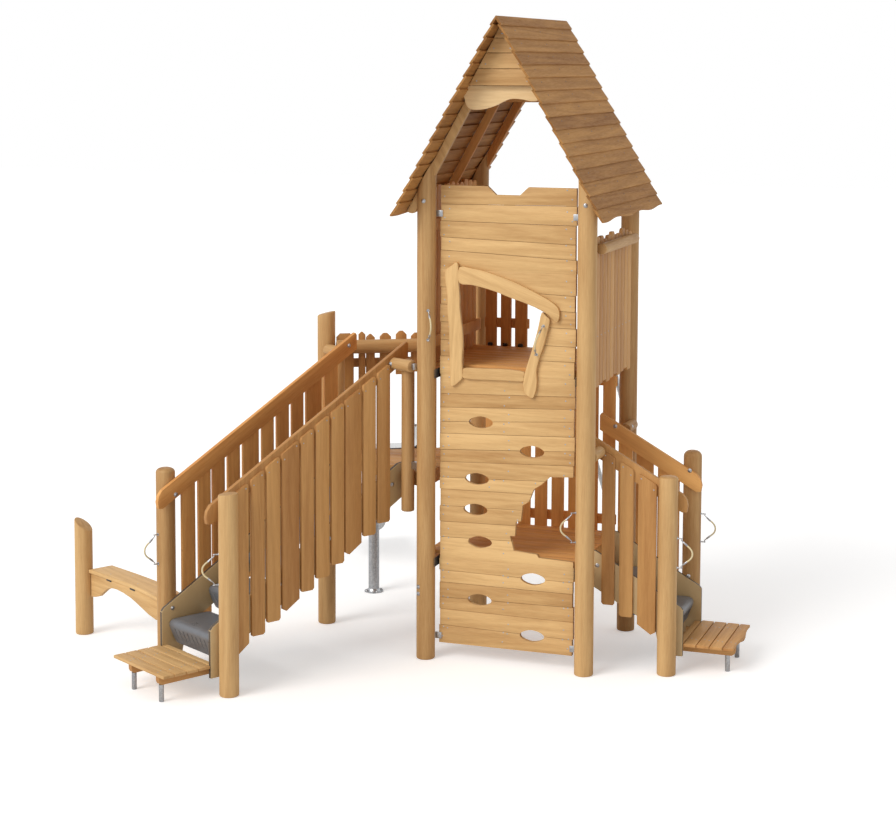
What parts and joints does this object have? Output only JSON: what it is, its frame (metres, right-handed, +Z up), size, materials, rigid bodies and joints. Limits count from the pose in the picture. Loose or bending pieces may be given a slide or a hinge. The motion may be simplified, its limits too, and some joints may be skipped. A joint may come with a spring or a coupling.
{
  "type": "play tower with slide",
  "caption": "Tall playground tower of round logs with a steep board roof, climbing wall, stairs to a landing with a slide, banister bars and a bench.",
  "frame": {"origin": "middle of the whole footprint, on the ground", "axes": "+X to the right along the tower's front towards the short stair, +Y to the back towards the slide and bars, +Z up"},
  "size_m": [5.3788, 5.1782, 5.061],
  "materials": {
    "log": "oiled, peeled log, satin",
    "board": "sawn board, weathered orange brown",
    "plank": "planed plank, satin",
    "panel": "tan sheet with a fine grain",
    "step": "dark grey moulded tread, fine texture",
    "steel": "galvanised and stainless steel",
    "dark": "dark sheet",
    "rope": "laid synthetic rope over a steel core"
  },
  "bodies": {
    "tower": {"back_rafters": "plank", "back_wall_lower": "board", "back_wall_upper": "board", "banister_bars": "steel", "bench_apron": "plank", "bench_post": "log", "bench_seat": "plank", "climbing_wall_foot": "plank", "climbing_wall_middle": "plank", "climbing_wall_top": "plank", "climbing_wall_window": "plank", "front_rafters": "plank", "gable_boards": "panel", "hanging_post": "log", "landing_barrier": "board", "landing_floor": "plank", "landing_hanging_post": "log", "landing_post": "log", "left_balustrade_far": "plank", "left_balustrade_near": "plank", "left_low_platform": "plank", "left_stair_back_post": "log", "left_stair_front_post": "log", "left_stair_steps": "step", "left_stair_stringer_far": "panel", "left_stair_stringer_near": "panel", "left_wall_planks": "board", "lower_floor": "plank", "middle_rafters": "plank", "post_back_left": "log", "post_back_right": "log", "post_front_left": "log", "post_front_right": "log", "right_balustrade_far": "plank", "right_balustrade_near": "plank", "right_low_platform": "plank", "right_stair_back_post": "log", "right_stair_front_post": "log", "right_stair_steps": "step", "right_stair_stringer_far": "panel", "right_stair_stringer_near": "panel", "right_wall_planks": "board", "right_wall_rail": "log", "roof_left": "board", "roof_right": "board", "slide_bed": "steel", "slide_entry": "dark", "slide_leg": "steel", "upper_floor": "plank", "window_board_left": "plank", "window_board_right": "plank", "window_board_top": "plank", "window_sill": "plank"},
    "grip_front_left": {"grip_front_left": "rope"},
    "grip_front_right": {"grip_front_right": "rope"},
    "grip_left_stair_front": {"grip_left_stair_front": "rope"},
    "grip_left_stair_back": {"grip_left_stair_back": "rope"},
    "grip_right_stair_front": {"grip_right_stair_front": "rope"},
    "grip_right_stair_back": {"grip_right_stair_back": "rope"},
    "grip_window": {"grip_window": "rope"}
  },
  "joints": [
    {"name": "grip_front_left_hinge", "type": "hinge", "parent": "tower", "child": "grip_front_left", "pos_m": [0.32145, -0.88757, 2.67], "axis": [0, 0, 1], "range_deg": [-110, 100]},
    {"name": "grip_front_right_hinge", "type": "hinge", "parent": "tower", "child": "grip_front_right", "pos_m": [1.47802, -0.84914, 1.16], "axis": [0, 0, 1], "range_deg": [-110, 110]},
    {"name": "grip_left_stair_front_hinge", "type": "hinge", "parent": "tower", "child": "grip_left_stair_front", "pos_m": [-0.87545, -2.227, 0.96], "axis": [0, 0, 1], "range_deg": [-110, 110]},
    {"name": "grip_left_stair_back_hinge", "type": "hinge", "parent": "tower", "child": "grip_left_stair_back", "pos_m": [-1.57591, -1.83883, 0.96], "axis": [0, 0, 1], "range_deg": [-110, 110]},
    {"name": "grip_right_stair_front_hinge", "type": "hinge", "parent": "tower", "child": "grip_right_stair_front", "pos_m": [2.27395, -0.5718, 0.963], "axis": [0, 0, 1], "range_deg": [-110, 110]},
    {"name": "grip_right_stair_back_hinge", "type": "hinge", "parent": "tower", "child": "grip_right_stair_back", "pos_m": [2.27395, 0.27852, 0.97], "axis": [0, 0, 1], "range_deg": [-110, 110]},
    {"name": "grip_window_hinge", "type": "hinge", "parent": "tower", "child": "grip_window", "pos_m": [1.19395, -0.81694, 2.587], "axis": [0.2404, 0, 0.9707], "range_deg": [-80, 80]}
  ]
}
